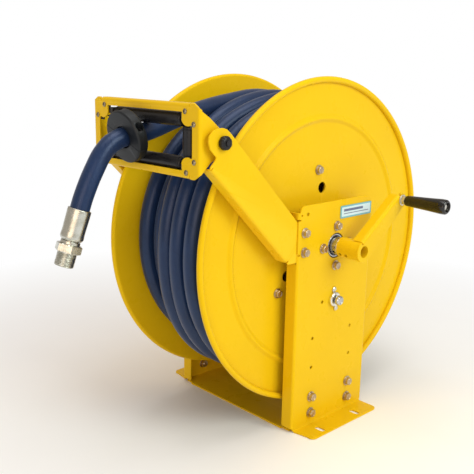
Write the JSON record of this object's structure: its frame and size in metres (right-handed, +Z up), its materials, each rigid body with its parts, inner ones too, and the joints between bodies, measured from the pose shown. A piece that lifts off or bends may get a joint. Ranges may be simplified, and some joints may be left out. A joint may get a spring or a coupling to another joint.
{
  "type": "hand-crank hose reel",
  "caption": "Hand-cranked reel on two folded pedestals, wound with rubber hose that leads through a tilting roller guide head, a hose stop and a threaded coupling.",
  "frame": {"origin": "on the floor, below the middle of the reel shaft", "axes": "+X along the reel shaft towards the crank, -Y towards the hose outlet, +Z up"},
  "size_m": [0.536, 0.7946, 0.66],
  "materials": {
    "yellow_paint": "glossy enamel on folded and spun sheet steel",
    "hose_cover": "satin blue hose cover, lightly scuffed",
    "zinc_plate": "bright zinc plating with a faint warm tint",
    "bare_steel": "turned steel",
    "black_roller": "moulded black nylon",
    "black_rubber": "black moulded rubber",
    "black_grip": "polished black handle plastic",
    "bearing_casting": "grey casting",
    "brass": "machined brass",
    "plate_face": "plain anodised plate without lettering"
  },
  "bodies": {
    "frame": {"base_tray": "yellow_paint", "upright_crank_side": "yellow_paint", "upright_inlet_side": "yellow_paint", "guide_arm_crank_side": "yellow_paint", "guide_arm_inlet_side": "yellow_paint", "bearing_housing_crank_side": "bearing_casting", "bearing_housing_inlet_side": "bearing_casting", "swivel_body": "brass", "lock_housing": "zinc_plate", "lock_spring": "bare_steel", "data_plate": "plate_face", "hose_lead": "hose_cover", "base_bolt_1": "zinc_plate", "base_bolt_2": "zinc_plate", "base_bolt_3": "zinc_plate", "base_bolt_4": "zinc_plate", "arm_bolt_1": "zinc_plate", "arm_bolt_2": "zinc_plate", "bearing_bolt_1": "zinc_plate", "bearing_bolt_2": "zinc_plate", "bearing_bolt_3": "zinc_plate", "bearing_bolt_4": "zinc_plate"},
    "reel": {"disc_crank_side": "yellow_paint", "disc_inlet_side": "yellow_paint", "drum_barrel": "yellow_paint", "drum_end_plate_crank_side": "yellow_paint", "drum_end_plate_inlet_side": "yellow_paint", "reel_shaft": "bare_steel", "outlet_riser": "brass", "hose_coil": "hose_cover", "crank_hub": "yellow_paint", "crank_arm": "yellow_paint", "grip_spindle": "zinc_plate", "bearing_ring_crank_side": "bare_steel", "bearing_ring_inlet_side": "bare_steel"},
    "crank_grip": {"crank_grip": "black_grip"},
    "lock": {"lock_pin": "zinc_plate", "lock_knob": "black_grip"},
    "guide_head": {"head_frame": "yellow_paint", "roller_bracket_top_crank_side": "zinc_plate", "roller_bracket_top_inlet_side": "zinc_plate", "roller_bracket_bottom_crank_side": "zinc_plate", "roller_bracket_bottom_inlet_side": "zinc_plate", "roller_axle_top": "bare_steel", "roller_axle_bottom": "bare_steel", "roller_axle_crank_side": "bare_steel", "roller_axle_inlet_side": "bare_steel", "hose_front": "hose_cover", "hose_stop_upper_half": "black_rubber", "hose_stop_lower_half": "black_rubber", "coupling_ferrule": "zinc_plate", "coupling_stem": "zinc_plate", "head_knob_crank_side": "black_roller", "head_knob_inlet_side": "black_roller", "pivot_washer_crank_side": "black_rubber", "pivot_washer_inlet_side": "black_rubber"},
    "roller_top": {"roller_top": "black_roller"},
    "roller_bottom": {"roller_bottom": "black_roller"},
    "roller_crank_side": {"roller_crank_side": "black_roller"},
    "roller_inlet_side": {"roller_inlet_side": "black_roller"}
  },
  "joints": [
    {"name": "reel_spin", "type": "hinge", "parent": "frame", "child": "reel", "pos_m": [0, 0, 0.35], "axis": [1, 0, 0], "continuous": true},
    {"name": "grip_spin", "type": "hinge", "parent": "reel", "child": "crank_grip", "pos_m": [0.28, 0.109, 0.434], "axis": [1, 0, 0], "continuous": true},
    {"name": "lock_pull", "type": "slide", "parent": "frame", "child": "lock", "axis": [1, 0, 0], "range_m": [0, 0.012], "stiffness_N_per_m": 300, "springref_m": -0.004},
    {"name": "guide_tilt", "type": "hinge", "parent": "frame", "child": "guide_head", "pos_m": [0, -0.287, 0.558], "axis": [-1, 0, 0], "range_deg": [0, 30]},
    {"name": "roller_top_spin", "type": "hinge", "parent": "guide_head", "child": "roller_top", "pos_m": [0, -0.31, 0.5915], "axis": [1, 0, 0], "continuous": true},
    {"name": "roller_bottom_spin", "type": "hinge", "parent": "guide_head", "child": "roller_bottom", "pos_m": [0, -0.31, 0.52], "axis": [1, 0, 0], "continuous": true},
    {"name": "roller_crank_side_spin", "type": "hinge", "parent": "guide_head", "child": "roller_crank_side", "pos_m": [0.105, -0.31, 0.55575], "axis": [0, 0, 1], "continuous": true},
    {"name": "roller_inlet_side_spin", "type": "hinge", "parent": "guide_head", "child": "roller_inlet_side", "pos_m": [-0.105, -0.31, 0.55575], "axis": [0, 0, 1], "continuous": true}
  ]
}
